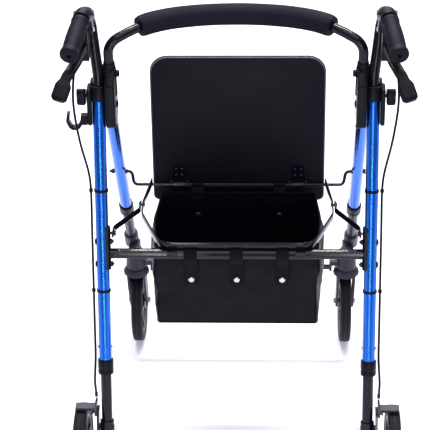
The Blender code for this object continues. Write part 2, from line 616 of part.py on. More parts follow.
def links():
    for s in (-1, 1):
        pin = rear(REAR_X * s, SADDLE_PIN_S)
        y1, z1 = LINK_PIN
        a = Vector((0.2420 * s, pin.y, pin.z))
        b = Vector((0.1977 * s, y1, z1))
        run = Vector((0, y1 - pin.y, z1 - pin.z))
        path = [a - run * 0.06, a + run * 0.16, b - run * 0.20, b + run * 0.06]
        flat = rod(bend(path, 0.02, 2), rounded_rect(0.0040, 0.013, 0.0018, 1))
        bar = node("link_bar_" + side_name(s), *flat, "gloss", origin=(0.2420 * s, pin.y, pin.z))
        hole = peg(a - Vector((0.01, 0, 0)), a + Vector((0.01, 0, 0)), 0.0034, 10)
        combine(bar, tool("link_hole_" + side_name(s), *hole))
        rivet = peg(b + Vector((s * 0.001, 0, 0)), b - Vector((s * 0.0035, 0, 0)), 0.0028)
        combine(bar, tool("link_rivet_" + side_name(s), *rivet), "UNION")


LID_LEAN = 6.0


def lid_point(x, up, out):
    """A point on the raised seat: up along the board from the rod, out behind its face."""
    a = math.radians(LID_LEAN)
    y = ROD[0] + up * math.sin(a) - out * math.cos(a)
    return Vector((x, y, ROD[1] + up * math.cos(a) + out * math.sin(a)))


def seat():
    low, high = -SEAT_BELOW, SEAT_D - SEAT_BELOW
    near, far = -0.0062, -0.0062 - SEAT_T
    loops = []
    for out, inset in ((near, 0.001), (near - 0.002, 0), (far + 0.004, 0), (far, 0.005)):
        w, a, b = SEAT_W / 2 - inset, low + inset, high - inset
        top = bend([(-w, 0, 0), (-w, b, 0), (w, b, 0), (w, 0, 0)], 0.035, 4)[1:-1]
        bottom = bend([(w, 0, 0), (w, a, 0), (-w, a, 0), (-w, 0, 0)], 0.012, 2)[1:-1]
        loops.append([lid_point(p.x, p.y, out) for p in top + bottom])
    node("seat_board", *skin(loops), "black", origin=(0, *ROD))
    for s in (-1, 1):
        x = 0.123 * s
        # a wide flange round the rod and a narrower screwed plate above it
        tee = soft_polygon([(-0.0225, -0.002), (0.0225, -0.002), (0.0225, 0.009), (0.0120, 0.013),
                            (0.0120, 0.041), (-0.0120, 0.041), (-0.0120, 0.013), (-0.0225, 0.009)], 0.002, 1)
        plate = [[lid_point(x + a, b, out) for a, b in tee] for out in (near + GAP, near + 0.0018)]
        ob = node("seat_hinge_" + side_name(s), *skin(plate), "black", origin=(0, *ROD))
        wrap = turned([(0.0037, -0.012), (0.0056, -0.012), (0.0056, 0.012), (0.0037, 0.012)], (x, *ROD),
                      (1, 0, 0), 18)
        combine(ob, tool("hinge_wrap_" + side_name(s), *wrap), "UNION")


# ---- cables and small fittings ----
def cables():
    for s in (-1, 1):
        path = [(0.2905 * s, 0.034, 0.9235), (0.2975 * s, 0.020, 0.895), (0.3080 * s, -0.012, 0.86)]
        path += [(0.3080 * s, -0.030, 0.80)]
        path += [(0.2830 * s, *rear(0, h)[1:]) for h in (0.14, 0.36, 0.50)]
        path += [(0.2870 * s, -0.1665, 0.245), (0.2870 * s, -0.1570, 0.1990)]
        node("brake_cable_" + side_name(s), *rod(bend(path, 0.04, 2), circle(0.0024, 6)), "black", sharp=60)


def cane_clip():
    """Open hook on the left bracket that a cane snaps into."""
    y, z = rear(0, 0.016)[1:]
    body = node("cane_clip", *slab(soft_polygon([(y - 0.010, z - 0.010), (y - 0.010, z + 0.010),
                                                 (y + 0.010, z + 0.010), (y + 0.010, z - 0.010)], 0.003, 1),
                                   -0.2853, -0.2980), "black")
    hook = [(-0.2955, y - 0.002, z), (-0.3020, y - 0.006, z - 0.014), (-0.3160, y - 0.008, z - 0.016),
            (-0.3230, y - 0.008, z + 0.002), (-0.3205, y - 0.008, z + 0.018)]
    arm = rod(bend(hook, 0.010, 2), rounded_rect(0.016, 0.006, 0.002, 1), (0, 1, 0))
    combine(body, tool("cane_hook", *arm), "UNION")


for side in (-1, 1):
    rear_side(side)
    handle_side(side)
    front_side(side)
    rear_lower_side(side)
    x = REAR_X * side
    snap_button("rear_button_" + side_name(side), rear(x, BUTTON_S), (-side, 0, 0))
    x = FRONT_X * side
    snap_button("front_button_" + side_name(side), front(x, FRONT_BUTTON_S), (-side, 0, 0))
cross_tube()
bag()
backrest()
front_bar()
seat_frame()
links()
seat()
cables()
cane_clip()
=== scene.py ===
"""The looks of the rollator walker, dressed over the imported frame. Metres, +Z up, +Y forward."""

import math
import bmesh
import bpy
from mathutils import Matrix, Vector, noise


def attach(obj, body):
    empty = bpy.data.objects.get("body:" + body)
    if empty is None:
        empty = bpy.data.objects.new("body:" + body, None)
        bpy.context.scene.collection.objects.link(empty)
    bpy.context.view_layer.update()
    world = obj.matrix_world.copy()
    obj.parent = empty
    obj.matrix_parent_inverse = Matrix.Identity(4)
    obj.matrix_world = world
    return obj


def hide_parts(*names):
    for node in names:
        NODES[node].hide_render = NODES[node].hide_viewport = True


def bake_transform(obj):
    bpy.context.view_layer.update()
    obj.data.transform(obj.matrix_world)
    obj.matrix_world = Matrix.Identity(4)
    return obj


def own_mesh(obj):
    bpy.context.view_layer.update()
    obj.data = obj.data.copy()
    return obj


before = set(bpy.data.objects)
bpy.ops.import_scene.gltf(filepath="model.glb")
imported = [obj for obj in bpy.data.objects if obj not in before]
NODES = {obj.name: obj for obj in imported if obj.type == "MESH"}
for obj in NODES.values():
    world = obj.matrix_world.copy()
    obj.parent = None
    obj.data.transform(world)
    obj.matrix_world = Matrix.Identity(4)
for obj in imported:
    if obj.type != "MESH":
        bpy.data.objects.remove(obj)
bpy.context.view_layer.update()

CENTRE_Y = 0.0555
TUBE_R, SLIDER_R, BACK_R = 0.0127, 0.0108, 0.0095
PIVOT_Y, PIVOT_Z = 0.027, 0.781
REAR_X, FRONT_X = 0.263, 0.246
WHEEL_R = 0.095
ROD = (0.140, 0.5225)
ROD_BOLT = (0.157, 0.5444)
BAND_Z, BAND_H, BAND_T = 0.5265, 0.016, 0.003
CROSS = (-0.088, 0.5075)
LINK_PIN = (0.058, 0.5265)
SOCKET = (0.2435, 0.031)
LEVER_PIVOT_X, LEVER_PIVOT = 0.2795, (0.020, 0.9455)
FRONT_WHEEL, REAR_WHEEL = (0.236, 0.311), (0.317, -0.200)
CABLE_R, CABLE_X = 0.0024, 0.2830
SR, CR = math.sin(math.radians(18.1)), math.cos(math.radians(18.1))
SF, CF = math.sin(math.radians(28.8)), math.cos(math.radians(28.8))
REAR_DOWN, FRONT_DOWN = Vector((0, -SR, -CR)), Vector((0, SF, -CF))
SIDES = (("left", -1), ("right", 1))


def rear(x, s):
    """The point at a distance s down the rear leg's axis."""
    return Vector((x, -s * SR, PIVOT_Z - s * CR))


def front(x, s):
    """The point at a distance s down the front leg's axis."""
    return Vector((x, PIVOT_Y + s * SF, PIVOT_Z - s * CF))


# ---- materials ----
def finish(name, colour, rough, metal=0.0, coat=0.0, bump=0.0, grain=400.0, mottle=0.0, wear=0.05, weave=0,
           shine=0.25):
    """A procedural material: noise in the colour and roughness, and a fine grain or weave as relief."""
    m = bpy.data.materials.new(name)
    m.use_nodes = True
    nt = m.node_tree
    p = nt.nodes["Principled BSDF"]
    p.inputs["Metallic"].default_value = metal
    p.inputs["Coat Weight"].default_value = coat
    p.inputs["Coat Roughness"].default_value = 0.08
    p.inputs["Specular IOR Level"].default_value = shine
    co = nt.nodes.new("ShaderNodeTexCoord")

    def ramp(src, lo, hi, a=0.35, b=0.65):
        r = nt.nodes.new("ShaderNodeMapRange")
        r.inputs["From Min"].default_value, r.inputs["From Max"].default_value = a, b
        r.inputs["To Min"].default_value, r.inputs["To Max"].default_value = lo, hi
        nt.links.new(src, r.inputs["Value"])
        return r.outputs["Result"]

    broad = nt.nodes.new("ShaderNodeTexNoise")
    broad.inputs["Scale"].default_value = 14
    broad.inputs["Detail"].default_value = 4
    nt.links.new(co.outputs["Object"], broad.inputs["Vector"])
    nt.links.new(ramp(broad.outputs["Fac"], rough - wear, rough + wear), p.inputs["Roughness"])
    tint = nt.nodes.new("ShaderNodeMix")
    tint.data_type = "RGBA"
    tint.inputs[6].default_value = (*[c * (1 - mottle) for c in colour], 1)
    tint.inputs[7].default_value = (*[min(1, c * (1 + mottle)) for c in colour], 1)
    nt.links.new(broad.outputs["Fac"], tint.inputs[0])
    nt.links.new(tint.outputs[2], p.inputs["Base Color"])
    if bump:
        fine = nt.nodes.new("ShaderNodeTexNoise")
        fine.inputs["Scale"].default_value = grain
        fine.inputs["Detail"].default_value = 3
        nt.links.new(co.outputs["Object"], fine.inputs["Vector"])
        height = fine.outputs["Fac"]
        if weave:
            parts = []
            for axis in ("X", "Z"):
                w = nt.nodes.new("ShaderNodeTexWave")
                w.bands_direction = axis
                w.inputs["Scale"].default_value = weave
                w.inputs["Distortion"].default_value = 0.4
                nt.links.new(co.outputs["Object"], w.inputs["Vector"])
                parts.append(w.outputs["Fac"])
            mul = nt.nodes.new("ShaderNodeMath")
            mul.operation = "MULTIPLY"
            nt.links.new(parts[0], mul.inputs[0])
            nt.links.new(parts[1], mul.inputs[1])
            height = mul.outputs[0]
        b = nt.nodes.new("ShaderNodeBump")
        b.inputs["Strength"].default_value = bump
        b.inputs["Distance"].default_value = 0.001
        nt.links.new(height, b.inputs["Height"])
        nt.links.new(b.outputs["Normal"], p.inputs["Normal"])
    return m


BLUE = finish("blue_tube_paint", (0.006, 0.125, 0.60), 0.17, 0.92, 0.35, 0.01, 900, 0.03, shine=0.4)
GLOSS = finish("black_tube_paint", (0.0042, 0.0040, 0.0085), 0.11, 0.0, 0.0, 0.02, 700, 0.1, 0.04, shine=0.26)
GREY = finish("grey_tube_paint", (0.056, 0.053, 0.076), 0.34, 0.5, 0.0, 0.04, 700, 0.08)
PLASTIC = finish("black_plastic", (0.0045, 0.0043, 0.0080), 0.34, 0.0, 0.0, 0.10, 900, 0.15, shine=0.12)
DARK = finish("dark_grey_plastic", (0.034, 0.031, 0.048), 0.40, 0.0, 0.0, 0.10, 800, 0.12, shine=0.2)
TYRE = finish("tyre_rubber", (0.013, 0.013, 0.018), 0.60, 0.0, 0.0, 0.18, 600, 0.2, shine=0.15)
GRIP = finish("grip_rubber", (0.0070, 0.0065, 0.0120), 0.50, 0.0, 0.0, 0.25, 1100, 0.15, shine=0.09)
FOAM = finish("foam_sleeve", (0.0095, 0.0090, 0.0160), 0.70, 0.0, 0.0, 0.35, 1300, 0.2, shine=0.08)
CLOTH = finish("bag_nylon", (0.0030, 0.0030, 0.0070), 0.40, 0.0, 0.0, 0.25, 600, 0.25, 0.08, 520, 0.10)
WEB = finish("strap_webbing", (0.003, 0.003, 0.006), 0.6, 0.0, 0.0, 0.4, 600, 0.2, 0.05, 620, 0.1)
VINYL = finish("seat_vinyl", (0.0052, 0.0052, 0.0095), 0.46, 0.0, 0.0, 0.20, 700, 0.2, shine=0.10)
# light grey for the seat's edge piping: painted sheen standing in for the light line that the rounded edge
# catches
EDGE_SHEEN = finish("seat_edge_trim", (0.10, 0.10, 0.12), 0.35, 0.0, 0.0, 0.1, 600, 0.1)
STEEL = finish("bright_steel", (0.62, 0.58, 0.56), 0.22, 1.0, 0.0, 0.05, 900, 0.06, shine=0.5)
ZINC = finish("dark_zinc", (0.06, 0.06, 0.07), 0.35, 0.9, 0.0, 0.06, 900, 0.1, shine=0.5)
JACKET = finish("cable_jacket", (0.003, 0.003, 0.005), 0.35, 0.0, 0.0, 0.06, 900, 0.1, shine=0.15)
# near-black for painted shade: dark pieces set where a hollow would only be in shade
HOLE_SHADE = finish("deep_shadow", (0.002, 0.002, 0.003), 0.9, 0.0, 0.0, 0.02, 300, 0.2)


# ---- shape helpers ----
def circle(r, n=40):
    return [(r * math.cos(2 * math.pi * i / n), r * math.sin(2 * math.pi * i / n)) for i in range(n)]


def rounded_rect(w, h, r, steps=6):
    pts = []
    for cx, cy, a0 in ((w / 2 - r, h / 2 - r, 0), (r - w / 2, h / 2 - r, 90),
                       (r - w / 2, r - h / 2, 180), (w / 2 - r, r - h / 2, 270)):
        for i in range(steps + 1):
            a = math.radians(a0 + 90 * i / steps)
            pts.append((cx + r * math.cos(a), cy + r * math.sin(a)))
    return pts


def bend(points, radius, steps=10):
    """The straight runs between the points, with each corner rounded."""
    pts = [Vector(p) for p in points]
    out = [pts[0]]
    for a, b, c in zip(pts, pts[1:], pts[2:]):
        u, v = (a - b).normalized(), (c - b).normalized()
        turn = math.pi - u.angle(v)
        if turn < 0.01:
            out.append(b)
            continue
        back = min(radius * math.tan(turn / 2), (a - b).length * 0.49, (c - b).length * 0.49)
        r = back / math.tan(turn / 2)
        centre = b + (u + v).normalized() * (r / math.cos(turn / 2))
        p0, p1 = b + u * back - centre, b + v * back - centre
        for i in range(steps + 1):
            f = i / steps
            out.append(centre + p0 * (math.sin((1 - f) * turn) / math.sin(turn))
                       + p1 * (math.sin(f * turn) / math.sin(turn)))
    out.append(pts[-1])
    return out


def smooth(points, steps=8):
    """A smooth curve through the points."""
    p = [Vector(q) for q in points]
    p = [p[0] * 2 - p[1]] + p + [p[-1] * 2 - p[-2]]
    out = []
    for i in range(1, len(p) - 2):
        for k in range(steps):
            t = k / steps
            out.append(0.5 * ((2 * p[i]) + (p[i + 1] - p[i - 1]) * t
                              + (2 * p[i - 1] - 5 * p[i] + 4 * p[i + 1] - p[i + 2]) * t * t
                              + (3 * p[i] - p[i - 1] - 3 * p[i + 1] + p[i + 2]) * t ** 3))
    return out + [p[-2]]


def rings(path, outline, ref=(1, 0, 0)):
    """The outline set square across the path at each of its points."""
    pts = [Vector(p) for p in path]
    out = []
    for i, p in enumerate(pts):
        t0 = (p - pts[i - 1]).normalized() if i else (pts[1] - p).normalized()
        t1 = (pts[i + 1] - p).normalized() if i < len(pts) - 1 else t0
        t = (t0 + t1).normalized()
        n = (Vector(ref) - t * Vector(ref).dot(t)).normalized()
        b = t.cross(n)
        out.append([p + n * a + b * c for a, c in outline])
    return out


def skin(loops, closed=False):
    """A surface through the loops, capped at both ends or closed on itself."""
    n = len(loops[0])
    verts = [v for ring in loops for v in ring]
    faces = []
    for i in range(len(loops) if closed else len(loops) - 1):
        a, b = i * n, ((i + 1) % len(loops)) * n
        faces += [[a + j, a + (j + 1) % n, b + (j + 1) % n, b + j] for j in range(n)]
    if not closed:
        faces += [list(range(n))[::-1], [(len(loops) - 1) * n + j for j in range(n)]]
    return verts, faces


def pipe(path, r_out, r_in, n=40, ref=(1, 0, 0)):
    return skin(rings(path, circle(r_out, n), ref) + rings(path, circle(r_in, n), ref)[::-1], closed=True)


def turned(profile, origin, axis, n=48):
    """A profile of (radius, height) turned about an axis."""
    axis = Vector(axis).normalized()
    ref = Vector((0, 0, 1)) if abs(axis.z) < 0.9 else Vector((0, 1, 0))
    u = (ref - axis * ref.dot(axis)).normalized()
    v = axis.cross(u)
    ring = all(point[0] > 1e-6 for point in profile)
    verts, faces, m = [], [], len(profile)
    for i in range(n):
        d = u * math.cos(2 * math.pi * i / n) + v * math.sin(2 * math.pi * i / n)
        verts += [Vector(origin) + axis * h + d * r for r, h in profile]
        a, b = i * m, ((i + 1) % n) * m
        for j in range(m if ring else m - 1):
            k = (j + 1) % m
            faces.append([a + j, a + k, b + k, b + j])
    return verts, faces


def dome(centre, axis, r=0.005, h=0.003, n=20):
    """A round screw or rivet head."""
    prof = [(r, 0), (r, h * 0.35), (r * 0.86, h * 0.75), (r * 0.5, h), (0, h)]
    return turned(prof, centre, axis, n)


def hexnut(centre, axis, r=0.0065, h=0.005):
    prof = [(0, 0), (r * 0.96, 0), (r, h * 0.12), (r, h * 0.88), (r * 0.9, h), (0, h)]
    return turned(prof, centre, axis, 6)


def box(x0, x1, y0, y1, z0, z1):
    c = [Vector((x, y, z)) for z in (z0, z1) for x, y in ((x0, y0), (x1, y0), (x1, y1), (x0, y1))]
    return skin([c[:4], c[4:]])


def join(*meshes):
    verts, faces = [], []
    for v, f in meshes:
        base = len(verts)
        verts += list(v)
        faces += [[i + base for i in face] for face in f]
    return verts, faces


def piece(name, shape, material, body, replaces=(), sharp=40):
    """One object riding on a body of the frame."""
    verts, faces = shape
    mesh = bpy.data.meshes.new(name)
    mesh.from_pydata([(v[0], v[1] - CENTRE_Y, v[2]) for v in verts], [], faces)
    bm = bmesh.new()
    bm.from_mesh(mesh)
    bmesh.ops.remove_doubles(bm, verts=bm.verts, dist=1e-6)
    bmesh.ops.recalc_face_normals(bm, faces=bm.faces)
    bm.to_mesh(mesh)
    bm.free()
    mesh.shade_smooth()
    mesh.set_sharp_from_angle(angle=math.radians(sharp))
    mesh.materials.append(material)
    ob = bpy.data.objects.new(name, mesh)
    bpy.context.scene.collection.objects.link(ob)
    if body:
        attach(ob, body)
    if replaces:
        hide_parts(*replaces)
    return ob


def cut(ob, shape):
    """Drills the shape out of the piece and keeps the result."""
    tool = piece(ob.name + "_drill", shape, HOLE_SHADE, None)
    m = ob.modifiers.new("drill", "BOOLEAN")
    m.operation, m.object, m.solver = "DIFFERENCE", tool, "EXACT"
    bpy.context.view_layer.update()
    done = bpy.data.meshes.new_from_object(ob.evaluated_get(bpy.context.evaluated_depsgraph_get()))
    ob.modifiers.clear()
    ob.data = done
    bpy.data.objects.remove(tool)
    return ob


def peg(p0, p1, r, n=20):
    axis = Vector(p1) - Vector(p0)
    return turned([(0, 0), (r, 0), (r, axis.length), (0, axis.length)], p0, axis, n)


# ---- finishes of the CAD nodes that show as they are ----
FINISH = {"top_bracket": PLASTIC, "rear_cross_tube": GLOSS, "lever_housing": PLASTIC, "brake_lever": PLASTIC,
          "caster_housing": DARK, "caster_fork": DARK, "brake_bracket": GLOSS, "brake_shoe": ZINC,
          "cane_clip": PLASTIC, "seat_hinge": GLOSS, "rear_button": STEEL, "front_button": STEEL,
          "link_bar": GLOSS, "front_cross_bar": GLOSS}
for name, ob in NODES.items():
    stem = name.replace("_left", "").replace("_right", "")
    ob.data.materials.clear()
    ob.data.materials.append(FINISH.get(stem, PLASTIC))

# ---- legs ----
REAR_HOLES, REAR_BUTTON = (0.3865, 0.4185, 0.4505), 0.4825
FRONT_HOLES, FRONT_BUTTON = (0.3125, 0.341, 0.3695), 0.398
COLLAR = [(SLIDER_R + 0.0004, 0.0045), (SLIDER_R + 0.0004, 0.031), (0.0140, 0.031), (0.0152, 0.0302),
          (0.0156, 0.028), (0.0156, 0.022), (0.0150, 0.0205), (0.0150, 0.0195), (0.0156, 0.018),
          (0.0156, 0.002), (0.0150, 0.0), (TUBE_R + 0.0003, 0.0), (TUBE_R + 0.0003, 0.0045)]
for side, s in SIDES:
    x = REAR_X * s
    leg = piece("rear_leg_tube_" + side, pipe([rear(x, -0.040), rear(x, 0.512)], TUBE_R, 0.0112), BLUE,
                "rear_frame", ["rear_leg_" + side])
    cut(leg, join(*[peg(rear(x - s * 0.006, h), rear(x - s * 0.02, h), 0.0032) for h in REAR_HOLES],
                  peg(rear(x - 0.02, REAR_BUTTON), rear(x + 0.02, REAR_BUTTON), 0.0043)))
    piece("rear_leg_collar_" + side, turned(COLLAR, rear(x, 0.508), REAR_DOWN), PLASTIC, "rear_frame",
          ["rear_collar_" + side])
    low = piece("rear_inner_tube_" + side, pipe([rear(x, 0.335), rear(x, 0.690)], SLIDER_R, 0.0093), GLOSS,
                "rear_lower_" + side, ["rear_lower_tube_" + side])
    cut(low, peg(rear(x - 0.02, REAR_BUTTON), rear(x + 0.02, REAR_BUTTON), 0.0038))
    spot = rear(x + s * (TUBE_R - 0.001), REAR_BUTTON)
    piece("rear_outer_button_" + side, dome(spot, (s, 0, 0), 0.0034, 0.0040, 20), STEEL, "rear_lower_" + side)
    plug = [(0, 0), (0.0112, 0), (0.0112, 0.004), (0.0095, 0.006), (0, 0.0065)]
    piece("rear_tube_plug_" + side, turned(plug, rear(x, 0.690), REAR_DOWN), PLASTIC, "rear_lower_" + side)
    x = FRONT_X * s
    leg = piece("front_leg_tube_" + side, pipe([front(x, -0.009), front(x, 0.424)], TUBE_R, 0.0112), BLUE,
                "front_frame", ["front_leg_" + side])
    bolt = Vector((x, *ROD_BOLT))
    cut(leg, join(*[peg(front(x - s * 0.006, h), front(x - s * 0.02, h), 0.0032) for h in FRONT_HOLES],
                  peg(bolt - Vector((0.02, 0, 0)), bolt + Vector((0.02, 0, 0)), 0.0039),
                  peg(front(x - s * 0.006, FRONT_BUTTON), front(x - s * 0.02, FRONT_BUTTON), 0.0043),
                  peg((x - 0.02, PIVOT_Y, PIVOT_Z), (x + 0.02, PIVOT_Y, PIVOT_Z), 0.0043)))
    piece("front_leg_collar_" + side, turned(COLLAR, front(x, 0.4165), FRONT_DOWN), PLASTIC, "front_frame",
          ["front_collar_" + side])
    low = piece("front_inner_tube_" + side, pipe([front(x, 0.368), front(x, 0.578)], SLIDER_R, 0.0093), GREY,
                "front_lower", ["front_lower_tube_" + side])
    cut(low, peg(front(x - s * 0.006, FRONT_BUTTON), front(x - s * 0.02, FRONT_BUTTON), 0.0038))

# ---- handles ----
def handle_points(s, steps=10):
    pts = [rear(REAR_X, 0.16), rear(REAR_X, -0.07), rear(REAR_X + 0.013, -0.185),
           (0.284, 0.012, 0.979), (0.2985, -0.100, 0.957)]
    return [Vector((p[0] * s, p[1], p[2])) for p in bend(pts, 0.038, steps)]


for side, s in SIDES:
    body = "handle_" + side
    pts = handle_points(s)
    piece("handle_bar_" + side, skin(rings(pts, circle(SLIDER_R))), GLOSS, body, ["handle_tube_" + side])
    cad = handle_points(s, 4)
    along = (cad[-1] - cad[-2]).normalized()
    length = min(0.118, (cad[-1] - cad[-2]).length - 0.004)
    base = cad[-1] - along * length
    r = SLIDER_R + 0.0003
    prof = [(r, 0), (0.0152, 0), (0.0172, 0.002), (0.0174, 0.006), (0.0166, 0.009)]
    ridges = 11
    for i in range(ridges):
        a = 0.012 + (length - 0.030) * i / (ridges - 1)
        swell = 0.0158 + 0.0010 * math.sin(math.pi * (a - 0.012) / (length - 0.03))
        prof += [(swell, a), (swell + 0.0005, a + 0.0012), (swell + 0.0005, a + 0.0040), (swell, a + 0.0052)]
    prof += [(0.0166, length - 0.008), (0.0180, length - 0.004), (0.0182, length), (0.0172, length + 0.0035),
             (0.0140, length + 0.0048), (0.0045, length + 0.005), (0.0040, length + 0.0045),
             (0.0040, length + 0.0008), (r, length + 0.0008)]
    piece("hand_grip_sleeve_" + side, turned(prof, base, along, 48), GRIP, body, ["hand_grip_" + side], 30)
    # a near-black disc at the bottom of the grip's end recess: painted shade standing in for the darkness of
    # the open end
    piece("grip_end_hole_" + side, turned([(0, 0), (0.0039, 0), (0.0039, 0.0005), (0, 0.0005)],
                                          base + along * (length + 0.001), along, 20), HOLE_SHADE, body)
    # the lever's clamp: a smooth sleeve round the bend with a body below it that holds the pivot
    bend_path = [p for p in pts if p.z > 0.966 and p.y > -0.001]
    sleeve = pipe(bend_path, 0.0168, SLIDER_R + 0.0003)
    hx = LEVER_PIVOT_X
    body_path = smooth([(0.2815 * s, 0.024, 0.9680), (0.2805 * s, 0.024, 0.9560),
                        (0.2797 * s, 0.0235, 0.9450), (0.2797 * s, 0.0235, 0.9370)], 5)
    block = []
    for i, c in enumerate(body_path):
        tip = 1 - 0.3 * (i / (len(body_path) - 1)) ** 6
        block.append([c + Vector((a * tip, b * tip, 0)) for a, b in rounded_rect(0.027, 0.034, 0.009, 6)])
    clamp = piece("lever_clamp_" + side, join(sleeve, skin(block)), PLASTIC, body,
                  ["lever_housing_" + side], 50)
    cut(clamp, box((hx - 0.0064) * s, (hx + 0.0064) * s, -0.02, 0.034, 0.90, 0.9560))
    lugs = []
    for dx in (-1, 1):
        lugs.append(hexnut((0.2820 * s + dx * 0.0150, 0.020, 0.9800), (dx, 0, 0), 0.0050, 0.0045))
    piece("clamp_bolts_" + side, join(*lugs), ZINC, body, (), 30)

    # squeeze lever: a narrow root in the housing, a flat arm under the grip and a thick turned-down end
    spine = smooth([(0.2797, 0.027, 0.9478), (0.2797, 0.004, 0.9375), (0.2812, -0.022, 0.9300),
                    (0.2885, -0.055, 0.9240), (0.2995, -0.088, 0.9170), (0.3075, -0.1030, 0.9085),
                    (0.3145, -0.1185, 0.8935), (0.3212, -0.1340, 0.8790)], 6)
    loops = []
    last = len(spine) - 1
    mirrored = [Vector((q.x * s, q.y, q.z)) for q in spine]
    for i, ring in enumerate(rings(mirrored, circle(1.0, 40))):
        f = i / last
        grow = min(1.0, max(0.0, (f - 0.22) / 0.25))
        end = min(1.0, max(0.0, (f - 0.74) / 0.06))
        tip = 1 - 0.35 * max(0.0, (f - 0.955) / 0.045) ** 2
        w = (0.0052 + 0.0048 * grow + 0.0050 * end) * tip
        h = (0.0048 + 0.0004 * grow + 0.0028 * end) * tip
        ring = []
        c = mirrored[i]
        t = (mirrored[min(i + 1, last)] - mirrored[max(i - 1, 0)]).normalized()
        n = (Vector((1, 0, 0)) - t * t.x).normalized()
        b = t.cross(n)
        for k in range(40):
            a = 2 * math.pi * k / 40
            ux = math.copysign(abs(math.cos(a)) ** 0.45, math.cos(a))
            uy = math.copysign(abs(math.sin(a)) ** 0.45, math.sin(a))
            ring.append(c + n * (ux * w) + b * (uy * h))
        loops.append(ring)
    piece("squeeze_lever_" + side, skin(loops), PLASTIC, "lever_" + side, ["brake_lever_" + side], 50)
    # the lever's pivot pin and the cable adjuster
    pin_heads = join(dome((s * (hx + 0.0134), *LEVER_PIVOT), (s, 0, 0), 0.0045, 0.002),
                     dome((s * (hx - 0.0134), *LEVER_PIVOT), (-s, 0, 0), 0.0045, 0.002))
    piece("lever_pivot_pin_" + side, pin_heads, STEEL, body)
    axis = Vector((0.0, -0.25, -1)).normalized()
    top = Vector((0.2905 * s, 0.0365, 0.9325))
    barrel = [(0, 0), (0.0036, 0), (0.0036, 0.005), (0.0030, 0.0055), (0.0030, 0.0075), (0.0036, 0.008),
              (0.0036, 0.0105), (0.0028, 0.012), (0, 0.012)]
    piece("cable_adjuster_" + side, turned(barrel, top, axis, 20), PLASTIC, body)
    # clamp knob with three lobes and a domed cap
    k = rear(REAR_X * s, -0.030)
    face = Vector((0.2875 * s, k.y, k.z))
    loops = []
    for dx, grow in ((0, 0.80), (0.0006, 0.88), (0.0025, 0.985), (0.0045, 1.0), (0.0130, 1.0), (0.0158, 0.96),
                     (0.0170, 0.88), (0.0175, 0.72), (0.0170, 0.60), (0.0172, 0.40), (0.0174, 0.10)):
        ring = []
        for i in range(72):
            a = 2 * math.pi * i / 72
            rr = (0.0155 + 0.0035 * math.cos(3 * a)) * grow
            ring.append(face + Vector((s * dx, rr * math.cos(a), rr * math.sin(a))))
        loops.append(ring)
    stem = peg(face, Vector((k.x + s * (SLIDER_R + 0.0008), k.y, k.z)), 0.0034)
    piece("clamp_knob_" + side, join(skin(loops), stem), PLASTIC, "knob_" + side, ["height_knob_" + side], 50)

# ---- backrest ----
corner = bend([(0.2425, 0.031, 0.8225), (0.2425, 0.031, 0.910), (0.205, 0.046, 0.926)], 0.032, 10)
arch = []
for i in range(1, 8):
    a = math.radians(-78 + 156 * i / 8)
    arch.append(Vector((-0.198 * math.sin(a), 0.014 + 0.100 * math.cos(a) ** 0.8, 0.930)))
span = smooth([corner[-1]] + arch + [Vector((-corner[-1].x, corner[-1].y, corner[-1].z))], 8)
centre = corner[:-1] + span + [Vector((-p.x, p.y, p.z)) for p in corner[::-1][1:]]
piece("backrest_hoop", skin(rings(centre, circle(BACK_R), (0, 1, 0.3))), GLOSS, "backrest", ["backrest_tube"])
inner = [p for p in span if abs(p.x) < 0.187]
loops = []
count = len(inner)
for i, (p, ring) in enumerate(zip(inner, rings(inner, circle(1.0, 40), (0, 1, 0.3)))):
    t = min(i, count - 1 - i)
    r = (0.0192, 0.0206, 0.0210, 0.0210, 0.0210)[min(t, 4)]
    loops.append([p + (q - p) * (r * (1 + 0.012 * noise.noise(Vector((i * 0.25, j * 0.35, 0)))))
                  for j, q in enumerate(ring)])
bore = [[p + (q - p) * (BACK_R + 0.0004) for q in ring]
        for p, ring in zip(inner, rings(inner, circle(1.0, 40), (0, 1, 0.3)))]
pad = piece("backrest_foam", skin(loops + bore[::-1], closed=True), FOAM, "backrest", ["backrest_pad"], 60)

# ---- seat frame: rod and band ----
half = [(FRONT_X + 0.0225, *ROD_BOLT), (0.2220, *ROD_BOLT), (0.2170, ROD[0], ROD[1]), (0.190, *ROD)]
path = bend([(-p[0], p[1], p[2]) for p in half] + half[::-1], 0.010, 8)
rodp = skin(rings(path, circle(0.0034, 24), (0, 0.3, 1)))
right = [(0.180, ROD[0] + 0.006, BAND_Z), (0.1925, 0.062, BAND_Z), (0.1925, 0.020, BAND_Z),
         (0.150, -0.088, BAND_Z)]
BAND_OUTLINE = ((-1, -0.93), (-0.6, -1), (0.6, -1), (1, -0.93),
                (1, 0.93), (0.6, 1), (-0.6, 1), (-1, 0.93))
pts = bend(right + [(-p[0], p[1], p[2]) for p in right[::-1]], 0.032, 12)
loops = []
for i, p in enumerate(pts):
    a, b = pts[max(0, i - 1)], pts[min(len(pts) - 1, i + 1)]
    t = (b - a).normalized()
    n = Vector((t.y, -t.x, 0))
    e, h = BAND_T / 2, BAND_H / 2
    loops.append([p + n * u * e + Vector((0, 0, w * h)) for u, w in BAND_OUTLINE])
piece("seat_rod_and_band", join(rodp, skin(loops)), GLOSS, "seat_band", ["seat_frame"], 50)
heads = []
for side, s in SIDES:
    heads.append(hexnut((s * 0.2592, *ROD_BOLT), (s, 0, 0), 0.0062, 0.0045))
    heads.append(turned([(0.0036, 0), (0.0080, 0), (0.0080, 0.0010), (0.0036, 0.0010)],
                        (s * 0.2320, *ROD_BOLT), (-s, 0, 0), 24))
piece("rod_nuts", join(*heads), GLOSS, "seat_band")
